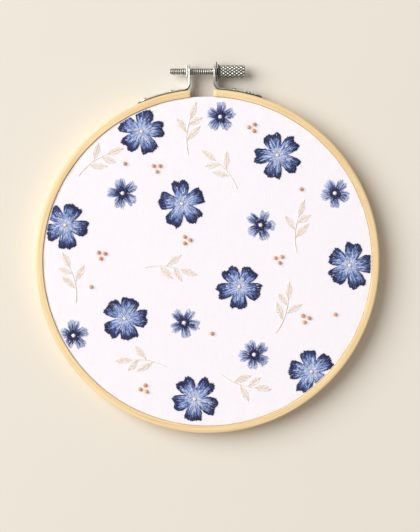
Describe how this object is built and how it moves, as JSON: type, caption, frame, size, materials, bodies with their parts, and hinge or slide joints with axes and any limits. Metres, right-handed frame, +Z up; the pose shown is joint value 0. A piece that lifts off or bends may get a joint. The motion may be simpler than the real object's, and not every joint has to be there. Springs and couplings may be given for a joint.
{
  "type": "embroidered cloth in a wooden screw hoop",
  "caption": "Round wooden screw hoop holding a taut white cotton cloth stitched with blue flowers, pale leafy sprigs and orange knots.",
  "frame": {"origin": "middle of the footprint, on the surface that the back of the hoops rests on", "axes": "+Z up out of the stitched face, +Y towards the screw, +X towards the screw's knurled head"},
  "size_m": [0.162, 0.1752, 0.01],
  "materials": {
    "wood": "smooth pale beech, lightly sealed",
    "inner_wood": "plain pale beech",
    "cotton": "white plain weave, drawn tight",
    "bracket_steel": "nickelled strip",
    "screw_steel": "nickelled, turned and knurled",
    "blue_thread": "stranded cotton, satin sheen",
    "pale_blue_thread": "stranded cotton, satin sheen",
    "beige_thread": "stranded cotton, satin sheen",
    "orange_thread": "stranded cotton, satin sheen"
  },
  "bodies": {
    "hoop": {"outer_hoop": "wood", "inner_hoop": "inner_wood", "cloth": "cotton", "bracket_left": "bracket_steel", "bracket_right": "bracket_steel", "rivet_left_1": "bracket_steel", "rivet_left_2": "bracket_steel", "rivet_right_1": "bracket_steel", "rivet_right_2": "bracket_steel", "nut": "screw_steel", "flower_large_1": "blue_thread", "flower_large_2": "blue_thread", "flower_large_3": "blue_thread", "flower_large_4": "blue_thread", "flower_large_5": "blue_thread", "flower_large_6": "blue_thread", "flower_large_7": "blue_thread", "flower_large_8": "blue_thread", "flower_large_9": "blue_thread", "flower_small_1": "pale_blue_thread", "flower_small_2": "pale_blue_thread", "flower_small_3": "pale_blue_thread", "flower_small_4": "pale_blue_thread", "flower_small_5": "pale_blue_thread", "flower_small_6": "pale_blue_thread", "flower_small_7": "pale_blue_thread", "sprig_1": "beige_thread", "sprig_2": "beige_thread", "sprig_3": "beige_thread", "sprig_4": "beige_thread", "sprig_5": "beige_thread", "sprig_6": "beige_thread", "sprig_7": "beige_thread", "sprig_8": "beige_thread", "sprig_9": "beige_thread"},
    "washer": {"washer": "screw_steel"},
    "thumbscrew": {"thumbscrew": "screw_steel"}
  },
  "joints": [
    {"name": "screw_travel", "type": "slide", "parent": "hoop", "child": "washer", "axis": [1, 0, 0], "range_m": [0, 0.0075]},
    {"name": "screw_turn", "type": "hinge", "parent": "washer", "child": "thumbscrew", "pos_m": [0.0107, 0.083, 0.005], "axis": [1, 0, 0], "range_deg": [0, 2700]}
  ],
  "couplings": [
    {"joint": "screw_turn", "follows": "screw_travel", "rad_per_m": 6283.2}
  ]
}
